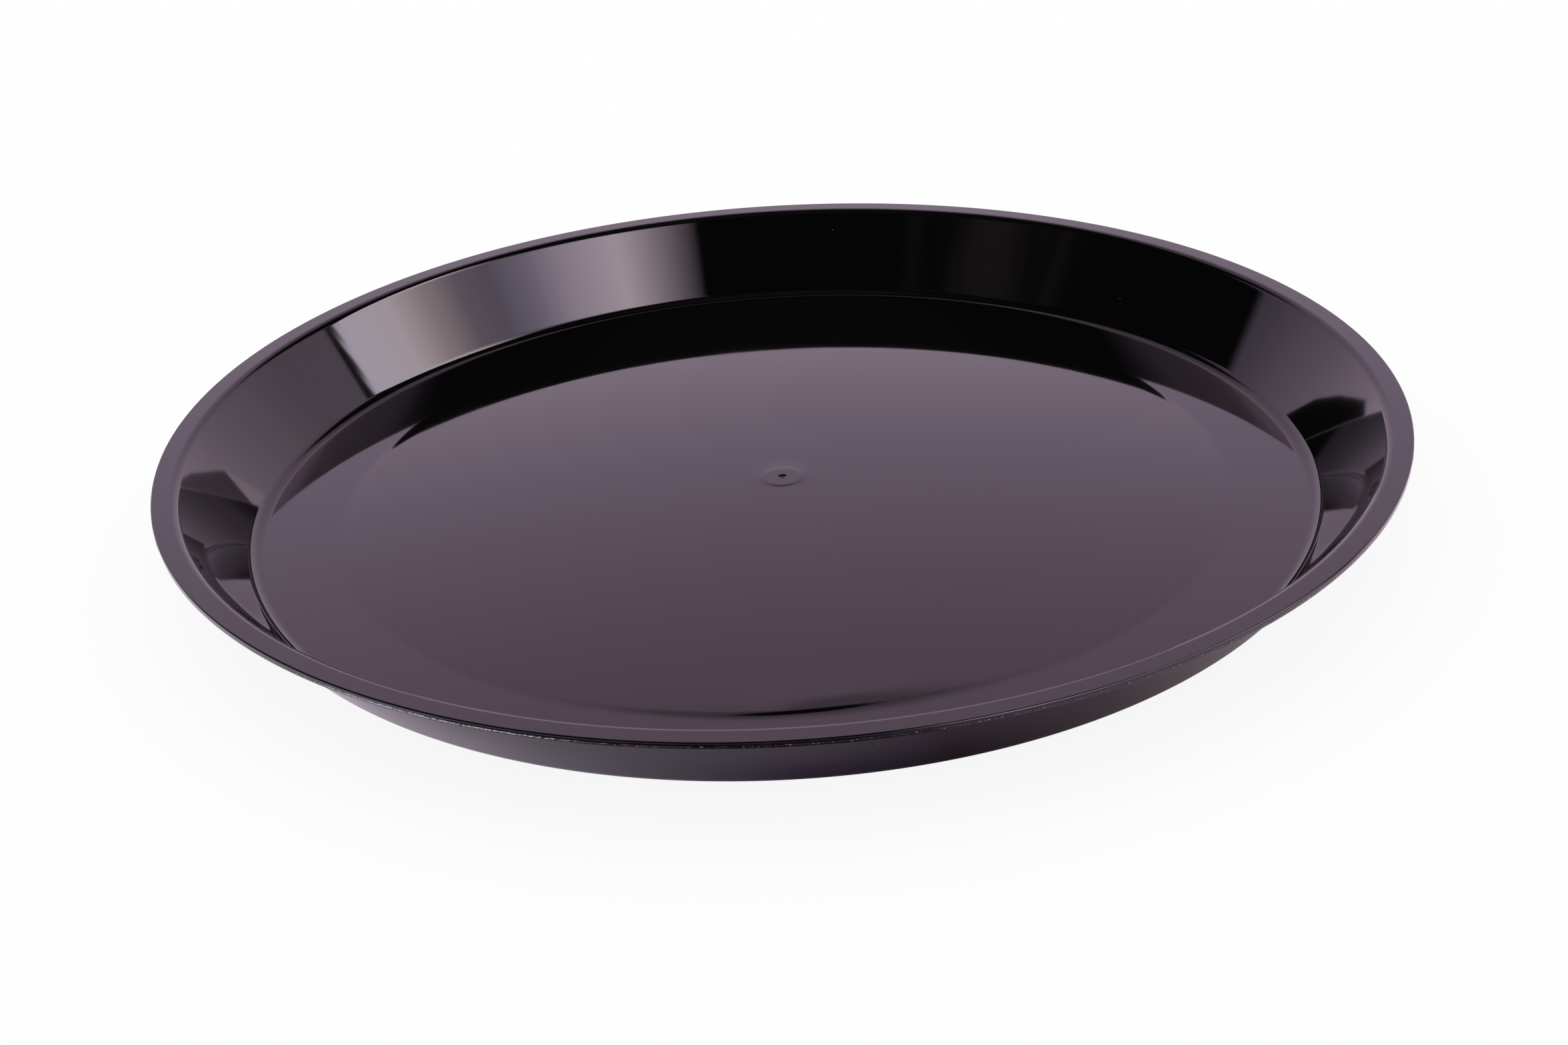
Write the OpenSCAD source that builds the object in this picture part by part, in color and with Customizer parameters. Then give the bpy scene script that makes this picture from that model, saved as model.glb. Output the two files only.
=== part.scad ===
// Round serving tray, moulded in one piece.
// Origin: centre of the plane the tray stands on. +Z up. Millimetres.

/* [Tray] */
// Outside diameter of the rim
tray_d = 370; // [320:5:420]
// Height from the standing plane to the top of the rim
tray_h = 28; // [23:0.5:34]
// Thickness of the floor and of the wall
wall_t = 2.4; // [1.8:0.1:3]

/* [Wall and rim] */
// Lean of the wall, measured from the vertical
wall_lean = 37.2; // [25:0.2:45]
// Inside radius where the floor turns up into the wall
corner_r = 5; // [2:0.5:8]
// Width of the flat rim
rim_w = 7; // [5:0.1:12]
// Thickness of the rim at its edge
rim_t = 1.9; // [1.5:0.1:2.4]
// Radius where the wall turns out into the rim
rim_in_r = 3.2; // [0.6:0.1:4]
// Rounding of the rim's upper and lower edge
rim_edge_r = 0.45; // [0.2:0.05:0.7]
// Radius under the rim, between rim and outer wall
under_rim_r = 1.5; // [0.5:0.1:3]

/* [Floor] */
// Rise of the domed centre panel
dome_h = 4.2; // [1:0.1:6]
// Distance from the foot of the wall in to the shoulder of the centre panel
panel_inset = 27.4; // [20:0.2:40]
// Drop of the shoulder around the centre panel
step_h = 0.2; // [0.1:0.05:0.8]
// Width of the shoulder
step_w = 3; // [2:0.5:6]
// Fall of the outer floor from the shoulder to the wall
outer_fall = 0.5; // [0.2:0.05:0.8]

/* [Foot] */
// Height of the foot ring
foot_h = 0.5; // [0.3:0.1:1]
// Width of the foot ring's flat
foot_w = 5; // [3:0.5:8]

/* [Gate mark] */
// Diameter of the raised witness disc at the centre of the floor
gate_disc_d = 13.6; // [8:0.2:20]
// Height of the witness disc
gate_disc_h = 0.15; // [0.05:0.05:0.3]
// Diameter of the gate dimple in the disc
gate_pip_d = 3; // [1:0.2:5]
// Depth of the gate dimple
gate_pip_depth = 0.5; // [0.1:0.05:0.8]

/* [Hidden] */
$fn = 360;
shell_color = [0.035, 0.03, 0.035];

rim_r   = tray_d / 2;
floor_z = foot_h + wall_t;                       // top of the floor at the wall
top_r   = rim_r - rim_w;                         // inner edge of the rim
floor_r = top_r - (tray_h - floor_z) * tan(wall_lean);
skin    = wall_t / cos(wall_lean);               // wall thickness taken level
out_r   = function (z) floor_r + skin + (z - floor_z) * tan(wall_lean);

shoulder_r = floor_r - panel_inset;              // edge of the domed panel
shoulder_z = floor_z + outer_fall + step_h;
dome_R     = (shoulder_r * shoulder_r + dome_h * dome_h) / (2 * dome_h);
dome_top   = shoulder_z + dome_h;
gate_z     = dome_top + gate_disc_h - gate_pip_depth;
dome_z     = function (r) dome_top - dome_R + sqrt(dome_R * dome_R - r * r);

base_fillet = corner_r + wall_t;
foot_out_r  = floor_r - corner_r * tan((90 - wall_lean) / 2) - 1.2;
foot_in_r   = foot_out_r - foot_w;
foot_draft  = foot_h * 0.6;

function unit(v) = v / norm(v);

// Points of an arc of radius r that rounds the corner p between a and b
function rounded(a, p, b, r, n) =
    let (u = unit(a - p), v = unit(b - p),
         half = acos(u * v) / 2,
         c = p + unit(u + v) * r / sin(half),
         s = p + u * r / tan(half), e = p + v * r / tan(half),
         a0 = atan2(s.y - c.y, s.x - c.x),
         a1 = atan2(e.y - c.y, e.x - c.x),
         turn = a1 - a0 > 180 ? a1 - a0 - 360 : a1 - a0 < -180 ? a1 - a0 + 360 : a1 - a0)
    [for (i = [0 : n]) c + r * [cos(a0 + turn * i / n), sin(a0 + turn * i / n)]];

// Domed panel from radius r0 out to r1, lowered by drop
function dome(r0, r1, drop, n) =
    [for (i = [0 : n]) let (r = r0 + (r1 - r0) * i / n) [r, dome_z(r) - drop]];

function reversed(v) = [for (i = [len(v) - 1 : -1 : 0]) v[i]];

// Top face, from the axis out to the rim
function top_face() =
    let (g = gate_disc_d / 2, edge_w = 1.2, pip = gate_pip_d / 2,
         shoulder = [shoulder_r + step_w, floor_z + outer_fall],
         corner = [floor_r, floor_z], lip = [top_r, tray_h],
         edge = [rim_r, tray_h], edge_low = [rim_r, tray_h - rim_t],
         root = [out_r(tray_h - rim_t), tray_h - rim_t])
    concat(
        [[0, gate_z], [pip * 0.35, gate_z]],
        dome(pip, g - edge_w, -gate_disc_h, 3),
        dome(g, shoulder_r, 0, 28),
        [shoulder],
        rounded(shoulder, corner, lip, corner_r, 12),
        rounded(corner, lip, edge, rim_in_r, 8),
        rounded(lip, edge, edge_low, rim_edge_r, 6),
        rounded(edge, edge_low, root, rim_edge_r, 6));

// Underside, from the rim in to the axis
function under_face() =
    let (edge_low = [rim_r, tray_h - rim_t],
         root = [out_r(tray_h - rim_t), tray_h - rim_t],
         base = [out_r(foot_h), foot_h], inner = [foot_out_r, foot_h],
         ring = [foot_in_r, foot_h + outer_fall * 0.3])
    concat(
        rounded(edge_low, root, base, under_rim_r, 6),
        rounded(root, base, inner, base_fillet, 14),
        [inner, [foot_out_r - foot_draft, 0],
         [foot_in_r + foot_draft, 0], ring,
         [shoulder_r + step_w, floor_z + outer_fall - wall_t]],
        reversed(dome(0, shoulder_r, wall_t, 28)));

// The whole tray: one turned section, floor, wall and rim in one skin
module tray_shell() {
    color(shell_color)
        rotate_extrude()
            polygon(concat(top_face(), under_face()));
}

tray_shell();
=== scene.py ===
import math

import bpy
import numpy as np
from mathutils import Matrix, Vector


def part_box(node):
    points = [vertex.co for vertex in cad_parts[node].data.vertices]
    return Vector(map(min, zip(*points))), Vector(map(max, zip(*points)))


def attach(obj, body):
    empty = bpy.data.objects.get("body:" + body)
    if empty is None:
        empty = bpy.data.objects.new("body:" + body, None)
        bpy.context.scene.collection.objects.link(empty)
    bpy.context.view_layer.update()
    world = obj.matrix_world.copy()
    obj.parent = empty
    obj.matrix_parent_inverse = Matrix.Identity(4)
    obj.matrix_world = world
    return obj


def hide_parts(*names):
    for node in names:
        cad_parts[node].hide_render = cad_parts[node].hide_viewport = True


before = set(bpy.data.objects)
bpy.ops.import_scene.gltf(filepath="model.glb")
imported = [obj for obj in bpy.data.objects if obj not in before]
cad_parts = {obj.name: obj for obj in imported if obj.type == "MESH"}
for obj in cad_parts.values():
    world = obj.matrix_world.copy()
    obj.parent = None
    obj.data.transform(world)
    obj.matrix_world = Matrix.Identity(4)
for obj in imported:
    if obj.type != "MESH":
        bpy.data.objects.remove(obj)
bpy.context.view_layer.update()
scene = bpy.context.scene

# ---------------------------------------------------------------- sizes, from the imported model
lo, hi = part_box("tray_shell")
MM = 0.001
R_OUT = (hi.x - lo.x) / 2 / MM          # rim radius, mm
TOP = hi.z / MM                         # top of the rim, mm

WALL_T = 2.4
LEAN = math.radians(37.2)
CORNER_R = 5.0
RIM_W = 7.0
RIM_T = 1.9
RIM_IN_R = 3.2
EDGE_R = 0.45
UNDER_R = 1.5
DOME_H = 4.2
INSET = 27.4
STEP_H = 0.2
STEP_W = 3.0
FALL = 0.5
FOOT_H = 0.5
FOOT_W = 5.0
DISC_R = 6.8
DISC_H = 0.15
PIP_R = 1.5
PIP_D = 0.5
SINK = 0.33
FLASH = 0.07

FLOOR_Z = FOOT_H + WALL_T
TOP_R = R_OUT - RIM_W
FLOOR_R = TOP_R - (TOP - FLOOR_Z) * math.tan(LEAN)
SKIN = WALL_T / math.cos(LEAN)
SH_R = FLOOR_R - INSET
SH_Z = FLOOR_Z + FALL + STEP_H
DOME_R = (SH_R ** 2 + DOME_H ** 2) / (2 * DOME_H)
DOME_TOP = SH_Z + DOME_H
FOOT_OUT = FLOOR_R - CORNER_R * math.tan((math.pi / 2 - LEAN) / 2) - 1.2
FOOT_IN = FOOT_OUT - FOOT_W


def out_r(z):
    return FLOOR_R + SKIN + (z - FLOOR_Z) * math.tan(LEAN)


def dome_z(r):
    return DOME_TOP - DOME_R + math.sqrt(DOME_R ** 2 - r * r)


# ---------------------------------------------------------------- section of the tray
def unit(v):
    return v / np.linalg.norm(v)


def rounded(a, p, b, r, n):
    """n + 1 points of the arc of radius r that rounds corner p between a and b."""
    a, p, b = (np.array(q, float) for q in (a, p, b))
    u, v = unit(a - p), unit(b - p)
    half = math.acos(float(u @ v)) / 2
    c = p + unit(u + v) * r / math.sin(half)
    s, e = p + u * r / math.tan(half), p + v * r / math.tan(half)
    a0 = math.atan2(s[1] - c[1], s[0] - c[0])
    a1 = math.atan2(e[1] - c[1], e[0] - c[0])
    turn = (a1 - a0 + math.pi) % (2 * math.pi) - math.pi
    return [(c[0] + r * math.cos(a0 + turn * i / n), c[1] + r * math.sin(a0 + turn * i / n)) for i in range(n + 1)]


def joined(pieces, hold=0.12, longest=7.0):
    """One line through the pieces. Long straight runs get a point close to each end, so that smooth shading stays in the fillets."""
    line = []
    for piece in pieces:
        if line:
            a, b = np.array(line[-1]), np.array(piece[0])
            d = float(np.linalg.norm(b - a))
            if d > 4 * hold:
                line.append(tuple(a + (b - a) * hold / d))
                n = max(1, int(d / longest))
                for i in range(1, n):
                    line.append(tuple(a + (b - a) * i / n))
                line.append(tuple(b - (b - a) * hold / d))
        for q in piece:
            if not line or math.hypot(q[0] - line[-1][0], q[1] - line[-1][1]) > 1e-4:
                line.append((float(q[0]), float(q[1])))
    return line


def smooth(t):
    t = min(max(t, 0.0), 1.0)
    return t * t * (3 - 2 * t)


def floor_top(r):
    """Height of the floor's top face: dimple, witness disc, dome, soft shoulder, outer floor."""
    outer = FLOOR_Z + FALL * (1 - (r - SH_R - STEP_W) / (FLOOR_R - SH_R - STEP_W))
    if r >= SH_R + STEP_W + 1.2:
        return outer
    if r <= SH_R - 1.2:
        z = dome_z(r)
        z += DISC_H * (1 - smooth((r - (DISC_R - 1.3)) / 1.5))
        if r < PIP_R:
            z -= PIP_D * (1 - (r / PIP_R) ** 2) ** 0.8
            z += 0.28 * math.exp(-(r / 0.42) ** 2)
        return z
    # the shoulder: the slopes of the dome, the ramp and the outer floor, run together
    return SHOULDER(r)


def make_shoulder():
    a, b = SH_R - 1.2, SH_R + STEP_W + 1.2
    slope_a = -a / math.sqrt(DOME_R ** 2 - a * a)
    slope_c = -FALL / (FLOOR_R - SH_R - STEP_W)
    n = 240
    rs = np.linspace(a, b, n + 1)
    t = (rs - a) / (b - a)
    bell = np.sin(np.pi * t) ** 2
    base = slope_a + (slope_c - slope_a) * (t * t * (3 - 2 * t))
    za = dome_z(a)
    zb = FLOOR_Z + FALL * (1 - (b - SH_R - STEP_W) / (FLOOR_R - SH_R - STEP_W))
    step = (b - a) / n
    whole = lambda s: float(np.sum((s[1:] + s[:-1]) / 2) * step)
    gain = ((zb - za) - whole(base)) / whole(bell)
    s = base + gain * bell
    z = za + np.concatenate([[0], np.cumsum((s[1:] + s[:-1]) / 2) * step])
    return lambda r: float(np.interp(r, rs, z))


SHOULDER = make_shoulder()


def rows(a, b, n):
    return [a + (b - a) * i / n for i in range(n + 1)]


def section():
    corner, lip = (FLOOR_R, FLOOR_Z), (TOP_R, TOP)
    face = R_OUT - FLASH
    edge, low = (face, TOP), (face, TOP - RIM_T)
    root = (out_r(TOP - RIM_T), TOP - RIM_T)
    base, inner = (out_r(FOOT_H), FOOT_H), (FOOT_OUT, FOOT_H)
    start = (152.0, floor_top(152.0))
    rr = (rows(0.0, 1.5, 9) + rows(1.6, 5.3, 3) + rows(5.5, 7.0, 8)[0:] + rows(7.3, SH_R - 1.35, 22)
          + rows(SH_R - 1.2, SH_R + STEP_W + 1.2, 18)
          + [137.5, 140.5, 144.0, 148.0, 152.0])
    top = [[(r, floor_top(r)) for r in rr],
           rounded(start, corner, lip, CORNER_R, 13),
           rounded(corner, lip, edge, RIM_IN_R, 11),
           rounded(lip, edge, low, EDGE_R, 6)]
    # the parting line: a low uneven ridge round the edge of the rim
    z1 = TOP - RIM_T * 0.55
    ridge = [[(face, z1), (R_OUT, z1 - 0.06), (R_OUT, z1 - 0.16), (face, z1 - 0.22)]]
    under = [rounded(edge, low, root, EDGE_R, 6),
             rounded(low, root, base, UNDER_R, 7),
             rounded(root, base, inner, CORNER_R + WALL_T, 15),
             rounded(base, (FOOT_OUT, FOOT_H), (FOOT_OUT - 0.3, 0), 0.15, 2),
             rounded((FOOT_OUT, FOOT_H), (FOOT_OUT - 0.3, 0), (FOOT_IN, 0), 0.18, 4),
             rounded((FOOT_OUT, 0), (FOOT_IN + 0.3, 0), (FOOT_IN, FOOT_H), 0.18, 4),
             rounded((FOOT_IN + 0.3, 0), (FOOT_IN, FOOT_H + 0.15), (SH_R, FLOOR_Z + FALL - WALL_T), 0.15, 2)]
    back = [r for r in rows(SH_R + STEP_W + 1.2, SH_R - 1.2, 10)] + rows(SH_R - 1.35, 3.0, 18) + [1.5, 0.0]
    under.append([(r, (SHOULDER(r) if r > SH_R - 1.2 else dome_z(r)) - WALL_T) for r in back])
    return joined(top + ridge + under)


SECTION = section()
SEGMENTS = 512


def ring_count(r):
    """Fewer segments near the axis, each a half of the next."""
    n = SEGMENTS
    while n > 16 and r < 3.2 * n / SEGMENTS * 16:
        n //= 2
    return n


def revolve(line, name):
    """A closed smooth mesh turned from the section. Rings halve their count towards the axis."""
    verts, faces, rings = [], [], []
    rng = np.random.default_rng(7)
    phase = rng.uniform(0, 2 * np.pi, 64)
    amp = rng.uniform(0.3, 1.0, 64)
    freq = np.concatenate([rng.integers(3, 24, 20), rng.integers(24, 150, 44)])

    def flash(theta):
        """How far the parting line stands out, in mm."""
        v = (np.sin(np.outer(theta, freq) + phase) * amp).sum(1) / 6
        return FLASH * (0.45 + 0.55 * np.clip(v, -0.75, 1))

    def sink(r, theta):
        """A faint sink where the dome meets the outer floor, on one side: the moulding's own unevenness, in mm."""
        turn = (theta - math.radians(-88.5) + math.pi) % (2 * math.pi) - math.pi
        t = np.where(turn < 0, turn / math.radians(13.0), turn / math.radians(12.0))
        share = np.exp(-np.abs(t) ** 2.2 * 1.1)
        if r < 110 or r > 152:
            return 0 * share
        inward = 0.9 * np.clip((np.degrees(turn) + 8.5) / 13.0, 0, 1)
        s = r + inward - 130.6
        soft = lambda v: np.clip(v, 0, 1) ** 2 * (3 - 2 * np.clip(v, 0, 1))
        h = np.where(s < 0, 0.5 * soft((s + 18.6) / 18.6), np.where(s < 2.4, 0.5 - soft(s / 2.4), -0.5 * (1 - soft((s - 2.4) / 19.0))))
        return SINK * h * share

    def gate(r, theta):
        """The witness disc's edge is softer on the far side, in mm."""
        if r > 10 or r < 3:
            return 0 * theta
        far = 0.5 + 0.5 * np.sin(theta)
        wide = 1.5 + 2.6 * far
        t = np.clip((r - (DISC_R - 1.3) + 0.25 * (wide - 1.5)) / wide, 0, 1)
        t0 = smooth((r - (DISC_R - 1.3)) / 1.5)
        return DISC_H * (t0 - t * t * (3 - 2 * t))

    under = False
    for r, z in line:
        under = under or r > R_OUT - 1
        if r < 1e-6:
            rings.append([len(verts)])
            verts.append((0, 0, z))
            continue
        n = ring_count(r)
        if len(rings[-1]) > 1:
            n = max(min(n, 2 * len(rings[-1])), len(rings[-1]) // 2)
        th = np.arange(n) * 2 * np.pi / n
        rr = np.full(n, r) if r < R_OUT - 1e-6 else R_OUT - FLASH + flash(th)
        zz = np.full(n, z) if under else z + sink(r, th) + gate(r, th)
        rings.append(list(range(len(verts), len(verts) + n)))
        verts.extend(zip(rr * np.cos(th), rr * np.sin(th), zz))
    for a, b in zip(rings[:-1], rings[1:]):
        na, nb = len(a), len(b)
        if na == 1 and nb > 1:
            faces += [(a[0], b[i], b[(i + 1) % nb]) for i in range(nb)]
        elif nb == 1 and na > 1:
            faces += [(a[i], b[0], a[(i + 1) % na]) for i in range(na)]
        elif na == nb:
            faces += [(a[i], b[i], b[(i + 1) % nb], a[(i + 1) % na]) for i in range(na)]
        elif nb == 2 * na:
            for i in range(na):
                j = 2 * i
                faces += [(a[i], b[j], b[j + 1]), (a[i], b[j + 1], a[(i + 1) % na]), (a[(i + 1) % na], b[j + 1], b[(j + 2) % nb])]
        elif na == 2 * nb:
            for i in range(nb):
                j = 2 * i
                faces += [(b[i], a[j + 1], a[j]), (b[i], b[(i + 1) % nb], a[j + 1]), (b[(i + 1) % nb], a[(j + 2) % na], a[j + 1])]
        else:
            raise ValueError("ring counts differ by more than two")
    mesh = bpy.data.meshes.new(name)
    mesh.from_pydata([(x * MM, y * MM, z * MM) for x, y, z in verts], [], faces)
    mesh.validate()
    mesh.update()
    return mesh


mesh = revolve(SECTION, "tray_shell_skin")
tray = bpy.data.objects.new("tray_shell_skin", mesh)
scene.collection.objects.link(tray)
mesh.polygons.foreach_set("use_smooth", [True] * len(mesh.polygons))
print("section points", len(SECTION), "vertices", len(mesh.vertices), "faces", len(mesh.polygons))

# ---------------------------------------------------------------- camera
REAR = 4.242 * R_OUT * MM
EL = math.radians(26.05)
PAN, TILT, ROLL = math.radians(0.03), math.radians(-0.69), math.radians(-3.63)
c = Vector((0, -REAR * math.cos(EL), REAR * math.sin(EL) + FLOOR_Z * MM))
back = Vector((0, -math.cos(EL), math.sin(EL)))
right = Vector((1, 0, 0))
up = back.cross(right)
basis = Matrix((right, up, back)).transposed()
turn = basis @ Matrix.Rotation(PAN, 3, "Y") @ Matrix.Rotation(TILT, 3, "X") @ Matrix.Rotation(ROLL, 3, "Z")
cam_data = bpy.data.cameras.new("camera")
cam = bpy.data.objects.new("camera", cam_data)
scene.collection.objects.link(cam)
cam.matrix_world = Matrix.Translation(c) @ turn.to_4x4()
cam_data.sensor_width = 36
cam_data.lens = 3881 / 2352 * 36
cam_data.clip_start, cam_data.clip_end = 0.05, 50
scene.camera = cam

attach(tray, "root")
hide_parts("tray_shell")

# ---------------------------------------------------------------- node helpers
class Nodes:
    """Short calls for building a node tree."""

    def __init__(self, tree):
        self.tree = tree
        tree.nodes.clear()

    def new(self, kind, **props):
        n = self.tree.nodes.new(kind)
        for k, v in props.items():
            setattr(n, k, v)
        return n

    def put(self, socket, value):
        if isinstance(value, bpy.types.NodeSocket):
            self.tree.links.new(value, socket)
        else:
            socket.default_value = value

    def math(self, op, a, b=None, c=None, clamp=False):
        n = self.new("ShaderNodeMath", operation=op, use_clamp=clamp)
        for i, v in enumerate((a, b, c)):
            if v is not None:
                self.put(n.inputs[i], v)
        return n.outputs[0]

    def add(self, *terms):
        out = terms[0]
        for t in terms[1:]:
            out = self.math("ADD", out, t)
        return out

    def mul(self, *terms):
        out = terms[0]
        for t in terms[1:]:
            out = self.math("MULTIPLY", out, t)
        return out

    def rise(self, x, a, b):
        """0 below a, 1 above b, smooth between. With a above b it falls."""
        n = self.new("ShaderNodeMapRange", interpolation_type="SMOOTHSTEP")
        self.put(n.inputs["Value"], x)
        n.inputs["From Min"].default_value, n.inputs["From Max"].default_value = a, b
        n.inputs["To Min"].default_value, n.inputs["To Max"].default_value = 0, 1
        return n.outputs["Result"]

    def band(self, x, a, b, soft_a, soft_b=None):
        soft_b = soft_a if soft_b is None else soft_b
        return self.mul(self.rise(x, a - soft_a, a + soft_a), self.math("SUBTRACT", 1.0, self.rise(x, b - soft_b, b + soft_b)))

    def ramp(self, x, stops, mode="LINEAR"):
        n = self.new("ShaderNodeValToRGB")
        n.color_ramp.interpolation = mode
        e = n.color_ramp.elements
        while len(e) < len(stops):
            e.new(0.5)
        for i, (pos, col) in enumerate(sorted(stops)):
            e[i].position = pos
            e[i].color = (*col, 1) if len(col) == 3 else col
        self.put(n.inputs["Fac"], x)
        return n.outputs["Color"]

    def scale_rgb(self, colour, factor):
        n = self.new("ShaderNodeVectorMath", operation="SCALE")
        self.put(n.inputs[0], colour)
        self.put(n.inputs["Scale"], factor)
        return n.outputs[0]

    def add_rgb(self, *colours):
        out = colours[0]
        for c in colours[1:]:
            n = self.new("ShaderNodeVectorMath", operation="ADD")
            self.put(n.inputs[0], out)
            self.put(n.inputs[1], c)
            out = n.outputs[0]
        return out

    def noise(self, vector, scale, detail=2.0, rough=0.5, kind="FBM"):
        n = self.new("ShaderNodeTexNoise", noise_dimensions="3D", noise_type=kind, normalize=True)
        self.put(n.inputs["Vector"], vector)
        n.inputs["Scale"].default_value = scale
        n.inputs["Detail"].default_value = detail
        n.inputs["Roughness"].default_value = rough
        return n.outputs["Fac"]


# ---------------------------------------------------------------- gloss black moulded plastic
def plastic():
    mat = bpy.data.materials.new("gloss_black_plastic")
    mat.use_nodes = True
    g = Nodes(mat.node_tree)
    out = g.new("ShaderNodeOutputMaterial")
    bsdf = g.new("ShaderNodeBsdfPrincipled")
    g.tree.links.new(bsdf.outputs[0], out.inputs[0])
    pos = g.new("ShaderNodeTexCoord").outputs["Object"]
    sep = g.new("ShaderNodeSeparateXYZ")
    g.put(sep.inputs[0], pos)
    x, y, z = sep.outputs
    radius = g.math("SQRT", g.add(g.mul(x, x), g.mul(y, y)))

    # wear: the outer lip and the foot ring rub on shelves and on other trays
    lip = g.mul(g.rise(radius, (R_OUT - 0.9) * MM, (R_OUT - 0.1) * MM), g.rise(z, (TOP - 2.6) * MM, (TOP - 1.7) * MM))
    foot = g.math("SUBTRACT", 1.0, g.rise(z, 0.03 * MM, 0.22 * MM))
    patchy = g.rise(g.noise(pos, 160, 4, 0.6), 0.42, 0.72)
    wear = g.mul(g.math("MAXIMUM", g.mul(lip, 0.2), foot), patchy)

    # dust: a few small pale specks; and a painted glint: a pale patchy line along the parting line, stronger on one
    # arc of the rim (about -134° to -103°)
    dots = g.new("ShaderNodeTexVoronoi", voronoi_dimensions="3D", feature="F1")
    g.put(dots.inputs["Vector"], pos)
    dots.inputs["Scale"].default_value = 210
    sparse = g.new("ShaderNodeSeparateColor")
    g.put(sparse.inputs[0], dots.outputs["Color"])
    angle = g.math("ARCTAN2", y, x)
    along = g.new("ShaderNodeCombineXYZ")
    g.put(along.inputs[0], g.mul(angle, 185.0))
    g.put(along.inputs[1], g.mul(z, 6000.0))
    # the arc of the rim where the painted glint along the parting line is stronger
    glint_arc = g.math("SUBTRACT", 1.0, g.math("MAXIMUM", g.rise(angle, math.radians(-112), math.radians(-103)), g.math("SUBTRACT", 1.0, g.rise(angle, math.radians(-134), math.radians(-125)))))
    glint_streak = g.add(g.noise(along.outputs[0], 0.9, 2, 0.6), g.mul(glint_arc, 0.16))
    # painted glint: pale grey colour in a patchy band along the parting line, standing for the sparkles it catches
    parting = g.mul(g.rise(radius, (R_OUT - 0.12) * MM, (R_OUT - 0.08) * MM), g.band(z, (TOP - 1.34) * MM, (TOP - 0.98) * MM, 0.05 * MM), g.rise(glint_streak, 0.60, 0.72))
    speck = g.mul(g.math("SUBTRACT", 1.0, g.rise(dots.outputs["Distance"], 0.016, 0.036)), g.rise(sparse.outputs[0], 0.962, 0.97))

    # hairlines left by wiping, in two directions
    lines = []
    for angle, seed in ((0.55, 0.0), (-0.9, 3.7), (1.9, 9.1)):
        m = g.new("ShaderNodeMapping")
        g.put(m.inputs["Vector"], pos)
        m.inputs["Location"].default_value = (seed, seed * 0.3, 0)
        m.inputs["Rotation"].default_value = (0, 0, angle)
        m.inputs["Scale"].default_value = (9, 900, 40)
        lines.append(g.rise(g.noise(m.outputs[0], 1.0, 1.0, 0.5), 0.775, 0.82))
    hair = g.math("MAXIMUM", g.math("MAXIMUM", lines[0], lines[1]), lines[2])

    # roughness: polished, with faint smears and a softer sheen where it is worn
    smear = g.noise(pos, 17, 3, 0.55)
    fine = g.noise(pos, 900, 2, 0.5)
    rough = g.add(0.028, g.mul(g.rise(smear, 0.35, 0.8), 0.03), g.mul(fine, 0.008), g.mul(hair, 0.02), g.mul(wear, 0.3), g.mul(speck, 0.4), g.mul(parting, 0.3))
    g.put(bsdf.inputs["Roughness"], rough)

    # colour: near black, slightly warmer and cooler in places; pale dust; greyed wear; a painted glint, pale grey,
    # along the parting line
    tone = g.ramp(g.noise(pos, 6, 2, 0.5), [(0.3, (0.00165, 0.00150, 0.00172)), (0.7, (0.00205, 0.00178, 0.00195))])
    grey = g.add_rgb(g.scale_rgb(tone, g.math("SUBTRACT", 1.0, speck)), g.scale_rgb((0.20, 0.19, 0.19), speck),
                     g.scale_rgb((0.42, 0.40, 0.43), parting), g.scale_rgb((0.020, 0.019, 0.020), wear), g.scale_rgb((0.0012, 0.0011, 0.0012), hair))
    g.put(bsdf.inputs["Base Color"], grey)
    bsdf.inputs["IOR"].default_value = 1.5
    bsdf.inputs["Specular IOR Level"].default_value = 0.5

    # bump: the long waves of a moulded sheet, a faint grain, and the hairlines
    wave = g.new("ShaderNodeBump")
    g.put(wave.inputs["Height"], g.noise(pos, 26, 1.5, 0.45))
    wave.inputs["Strength"].default_value = 1.0
    wave.inputs["Distance"].default_value = 0.0000075
    grain = g.new("ShaderNodeBump")
    g.put(grain.inputs["Height"], g.add(g.mul(fine, 0.5), g.mul(hair, -0.12), g.mul(speck, 2.0), g.mul(wear, g.noise(pos, 1500, 2, 0.6))))
    grain.inputs["Strength"].default_value = 1.0
    grain.inputs["Distance"].default_value = 0.0000012
    g.tree.links.new(wave.outputs[0], grain.inputs["Normal"])
    g.tree.links.new(grain.outputs[0], bsdf.inputs["Normal"])
    return mat


mesh.materials.append(plastic())

# ---------------------------------------------------------------- floor
bpy.ops.mesh.primitive_circle_add(vertices=96, radius=6, fill_type="NGON", location=(0, 0, -0.0004))
ground = bpy.context.object
ground.name = "studio_floor"
fmat = bpy.data.materials.new("studio_floor")
fmat.use_nodes = True
g = Nodes(fmat.node_tree)
fout = g.new("ShaderNodeOutputMaterial")
fpos = g.new("ShaderNodeNewGeometry").outputs["Position"]
fsep = g.new("ShaderNodeSeparateXYZ")
g.put(fsep.inputs[0], fpos)
fx, fy, _ = fsep.outputs
fr = g.math("SQRT", g.add(g.mul(fx, fx), g.mul(fy, fy)))
pale = g.new("ShaderNodeBsdfDiffuse")
pale.inputs["Color"].default_value = (0.84, 0.84, 0.845, 1)
glow = g.new("ShaderNodeEmission")
glow.inputs["Color"].default_value = (1, 1, 1, 1)
glow.inputs["Strength"].default_value = 1.0
seen = g.new("ShaderNodeMixShader")
seen.inputs[0].default_value = 0.9
g.tree.links.new(pale.outputs[0], seen.inputs[1])
g.tree.links.new(glow.outputs[0], seen.inputs[2])


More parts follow.
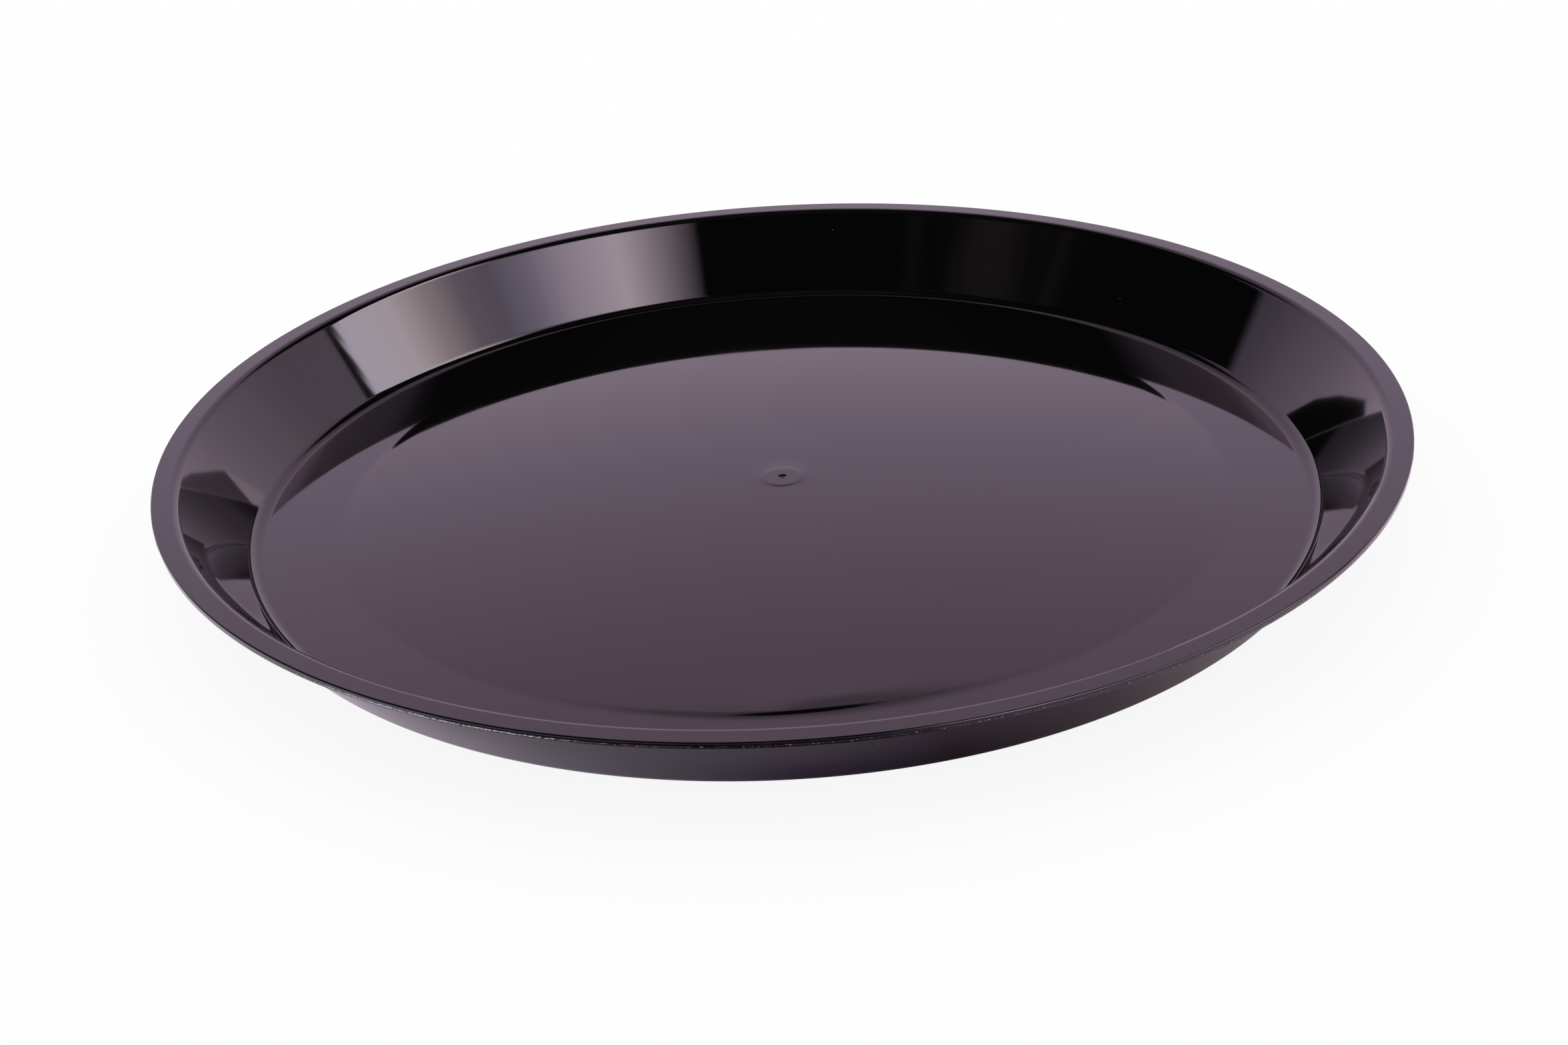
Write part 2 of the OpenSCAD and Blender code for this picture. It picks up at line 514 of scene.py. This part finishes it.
def across(stops):
    """Painted floor light and shade, seen only in reflections of the tray, from left (x = -0.16 m) to right (x = 0.16
    m).
    """
    t = g.math("DIVIDE", g.math("ADD", fx, 0.16), 0.32, clamp=True)
    return g.ramp(t, [((x + 160) / 320, (v / 2, v * h / 2, v * k / 2)) for x, v, h, k in stops])


# Seen only in reflections, the floor glows with painted light and shade. The first two ramps, up to 0.17 m out, are a
# painted contact shadow under the tray's edge, bright at the left and darkest just right of centre. The third,
# further out, is painted light, bright at both sides, with a painted dark band at the centre.
painted_shade_at_base = across([(-160, 0.65, 0.86, 1.0), (-85, 0.6, 0.86, 1.05), (-42, 0.35, 0.85, 1.1), (0, 0.11, 0.7, 1.25), (40, 0.055, 0.65, 0.9), (100, 0.2, 0.8, 0.9), (160, 0.3, 0.85, 0.95)])
painted_shade_near_edge = across([(-160, 0.65, 0.84, 1.0), (-71, 0.43, 0.84, 1.0), (0, 0.3, 0.78, 1.05), (41, 0.15, 0.7, 1.05), (85, 0.2, 0.75, 0.95), (160, 0.48, 0.87, 0.95)])
painted_light_open_floor = across([(-160, 1.5, 0.9, 1.05), (-130, 1.8, 0.95, 1.2), (-61, 0.5, 0.75, 1.0), (-10, 0.12, 0.7, 0.9), (22, 0.07, 0.7, 1.1), (70, 0.8, 0.7, 1.0), (160, 1.4, 0.8, 0.97)])
inner, outer = g.new("ShaderNodeMix", data_type="RGBA"), g.new("ShaderNodeMix", data_type="RGBA")
g.put(inner.inputs[0], g.rise(fr, 0.1605, 0.1695))
g.put(inner.inputs[6], painted_shade_at_base)
g.put(inner.inputs[7], painted_shade_near_edge)
g.put(outer.inputs[0], g.rise(fr, 0.172, 0.200))
g.put(outer.inputs[6], inner.outputs[2])
g.put(outer.inputs[7], painted_light_open_floor)
painted_floor_glow = g.new("ShaderNodeEmission")
g.put(painted_floor_glow.inputs["Color"], outer.outputs[2])
# painted shadow: in reflections the floor is darker on a patch in front of the tray, left of centre, beyond 0.21 m
shade = g.mul(g.rise(fr, 0.205, 0.225), g.band(fx, -0.135, -0.02, 0.012, 0.02), g.math("SUBTRACT", 1.0, g.rise(fy, -0.05, 0.0)))
g.put(painted_floor_glow.inputs["Strength"], g.math("SUBTRACT", 2.0, g.mul(shade, 1.7)))
which = g.new("ShaderNodeLightPath")
mix = g.new("ShaderNodeMixShader")
g.put(mix.inputs[0], which.outputs["Is Glossy Ray"])
g.tree.links.new(seen.outputs[0], mix.inputs[1])
g.tree.links.new(painted_floor_glow.outputs[0], mix.inputs[2])
g.tree.links.new(mix.outputs[0], fout.inputs[0])
ground.data.materials.append(fmat)

# ---------------------------------------------------------------- cards that only reflections see
def card(name, azimuth, distance, outline, light):
    """An upright flat card beyond the tray. outline is (along, up) in mm; light is what it sends out."""
    u = np.array([math.cos(math.radians(azimuth)), math.sin(math.radians(azimuth))])
    v = np.array([-u[1], u[0]])
    points = [(*((distance * u + along * v) * MM), h * MM) for along, h in outline]
    m = bpy.data.meshes.new(name)
    m.from_pydata(points, [], [tuple(range(len(points)))])
    m.update()
    o = bpy.data.objects.new(name, m)
    scene.collection.objects.link(o)
    mt = bpy.data.materials.new(name)
    mt.use_nodes = True
    n = Nodes(mt.node_tree)
    e = n.new("ShaderNodeEmission")
    e.inputs["Color"].default_value = (*light, 1)
    e.inputs["Strength"].default_value = 1.0
    n.tree.links.new(e.outputs[0], n.new("ShaderNodeOutputMaterial").inputs[0])
    m.materials.append(mt)
    o.visible_camera = o.visible_diffuse = o.visible_shadow = o.visible_transmission = False


card("dark_card_left_rear", 123, 700, [(90, 0), (90, 175), (-55, 175), (-110, 160), (-170, 133), (-215, 109), (-260, 84), (-300, 48), (-310, 0)], (0.004, 0.0035, 0.004))
card("grey_card_right_rear", 60, 500, [(137, 0), (137, 100), (172, 84), (210, 66), (256, 38), (266, 0)], (0.26, 0.20, 0.25))
card("pale_card_right_rear", 60, 500, [(98, 0), (98, 100), (136.5, 100), (136.5, 0)], (1.4, 1.1, 1.3))

# ---------------------------------------------------------------- studio light, by direction
world = bpy.data.worlds.new("studio")
scene.world = world
world.use_nodes = True
g = Nodes(world.node_tree)
wout = g.new("ShaderNodeOutputWorld")
direction = g.new("ShaderNodeTexCoord").outputs["Generated"]
sep = g.new("ShaderNodeSeparateXYZ")
g.put(sep.inputs[0], direction)
dx, dy, dz = sep.outputs
DEG = 180 / math.pi
az = g.mul(g.math("ARCTAN2", dy, dx), DEG)
el = g.mul(g.math("ARCSINE", dz), DEG)

# the room's pale sweep behind the tray, from the right round to the left, fading out overhead
sweep_top = g.math("SUBTRACT", 1.0, g.add(g.mul(g.rise(el, 36, 41), 0.40), g.mul(g.rise(el, 49, 57), 0.60)))
sides = g.math("SUBTRACT", 1.0, g.mul(g.rise(el, 30, 38), g.math("SUBTRACT", 1.0, g.band(az, 62, 124, 5))))
slant = g.math("SUBTRACT", az, g.mul(g.math("MINIMUM", g.math("MAXIMUM", g.math("SUBTRACT", el, 25.0), -3.0), 9.0), 0.6))
sweep = g.mul(g.rise(az, 19.15, 19.85), g.math("SUBTRACT", 1.0, g.rise(slant, 148.4, 150.4)), sweep_top, sides)
ROUND = [(20, (1.3, 1.0, 1.3)), (32, (1.1, 0.8, 1.05)), (56, (1.0, 0.745, 1.0)), (120, (1.0, 0.745, 1.0)), (136, (0.9, 0.65, 0.9)), (150, (0.65, 0.5, 0.7))]
UPWARD = [(18, (1.15, 1.2, 1.15)), (24, (1.0, 1.05, 1.05)), (36, (0.95, 0.9, 0.9)), (44, (1.0, 1.0, 1.0))]
round_rgb = g.ramp(g.math("DIVIDE", g.math("SUBTRACT", az, 16.0), 144.0), [((a - 16) / 144, tuple(c / 1.5 for c in col)) for a, col in ROUND])
upward_rgb = g.ramp(g.math("DIVIDE", g.math("SUBTRACT", el, 10.0), 40.0), [((a - 10) / 40, tuple(c / 1.5 for c in col)) for a, col in UPWARD])
both = g.new("ShaderNodeVectorMath", operation="MULTIPLY")
g.put(both.inputs[0], round_rgb)
g.put(both.inputs[1], upward_rgb)
sweep_rgb = g.scale_rgb(both.outputs[0], g.mul(sweep, 2.25))

# the window, at the right and towards the camera
WIN = [(-72, (0, 0, 0)), (-63, (3.0, 2.4, 2.9)), (-50, (8.0, 6.5, 7.5)), (-36, (5.5, 4.5, 5.5)), (-27, (3.0, 2.5, 3.5)), (-18, (1.8, 1.5, 2.0)),
       (-11, (2.2, 1.8, 2.3)), (-3, (4.8, 3.8, 4.0)), (5, (7.6, 6.4, 7.0)), (18, (7.0, 6.3, 7.6))]
A0, A1, PEAK = -75.0, 20.0, 8.5
win_col = g.ramp(g.math("DIVIDE", g.math("SUBTRACT", az, A0), A1 - A0),
                 [((a - A0) / (A1 - A0), tuple(c / PEAK for c in col)) for a, col in WIN])
wobble = g.new("ShaderNodeTexNoise", noise_dimensions="1D")
g.put(wobble.inputs["W"], el)
wobble.inputs["Scale"].default_value = 1.3
wobble.inputs["Detail"].default_value = 1.0
edge = g.add(az, g.mul(g.math("SUBTRACT", wobble.outputs["Fac"], 0.5), 3.6))
win_mask = g.mul(g.math("SUBTRACT", 1.0, g.rise(edge, 16.9, 17.7)), g.rise(az, -73, -70), g.band(el, 20, 58, 7, 5), PEAK)
win_rgb = g.scale_rgb(win_col, win_mask)

# a dim reddish patch high at the left, a soft low band behind the camera, a faint overhead glow
blotch = g.rise(g.noise(direction, 7, 2, 0.5), 0.3, 0.7)
dim = g.scale_rgb((0.13, 0.105, 0.105), g.mul(blotch, g.math("SUBTRACT", 1.0, g.rise(az, -134, -124)), g.rise(az, -172, -160), g.band(el, 36, 54, 5)))
low = g.scale_rgb((0.80, 0.66, 0.78), g.mul(g.math("SUBTRACT", 1.0, g.rise(az, -80, -60)), g.math("SUBTRACT", 1.0, g.rise(az, 170, 179)), g.math("SUBTRACT", 1.0, g.rise(el, 12, 22))))
low_left = g.scale_rgb((0.80, 0.66, 0.78), g.mul(g.rise(az, 156, 176), g.math("SUBTRACT", 1.0, g.rise(el, 12, 22))))
over = g.scale_rgb((0.05, 0.044, 0.05), g.rise(el, 66, 80))
glossy = g.add_rgb(sweep_rgb, win_rgb, dim, over, low, low_left, (0.004, 0.0035, 0.004))

path = g.new("ShaderNodeLightPath")
see = g.new("ShaderNodeBackground")
see.inputs["Color"].default_value = (1, 1, 1, 1)
see.inputs["Strength"].default_value = 1.0
shine = g.new("ShaderNodeBackground")
g.put(shine.inputs["Color"], glossy)
soft = g.new("ShaderNodeBackground")
side_light = g.rise(dx, -0.9, 0.9)
g.put(soft.inputs["Color"], g.ramp(side_light, [(0.0, (1.0, 1.0, 1.0)), (1.0, (0.86, 0.86, 0.87))]))
soft.inputs["Strength"].default_value = 1.22
m1, m2 = g.new("ShaderNodeMixShader"), g.new("ShaderNodeMixShader")
g.put(m1.inputs[0], path.outputs["Is Glossy Ray"])
g.tree.links.new(soft.outputs[0], m1.inputs[1])
g.tree.links.new(shine.outputs[0], m1.inputs[2])
g.put(m2.inputs[0], path.outputs["Is Camera Ray"])
g.tree.links.new(m1.outputs[0], m2.inputs[1])
g.tree.links.new(see.outputs[0], m2.inputs[2])
g.tree.links.new(m2.outputs[0], wout.inputs[0])

scene.view_settings.view_transform = "Standard"
scene.view_settings.look = "None"
scene.view_settings.exposure = 0
scene.view_settings.gamma = 1
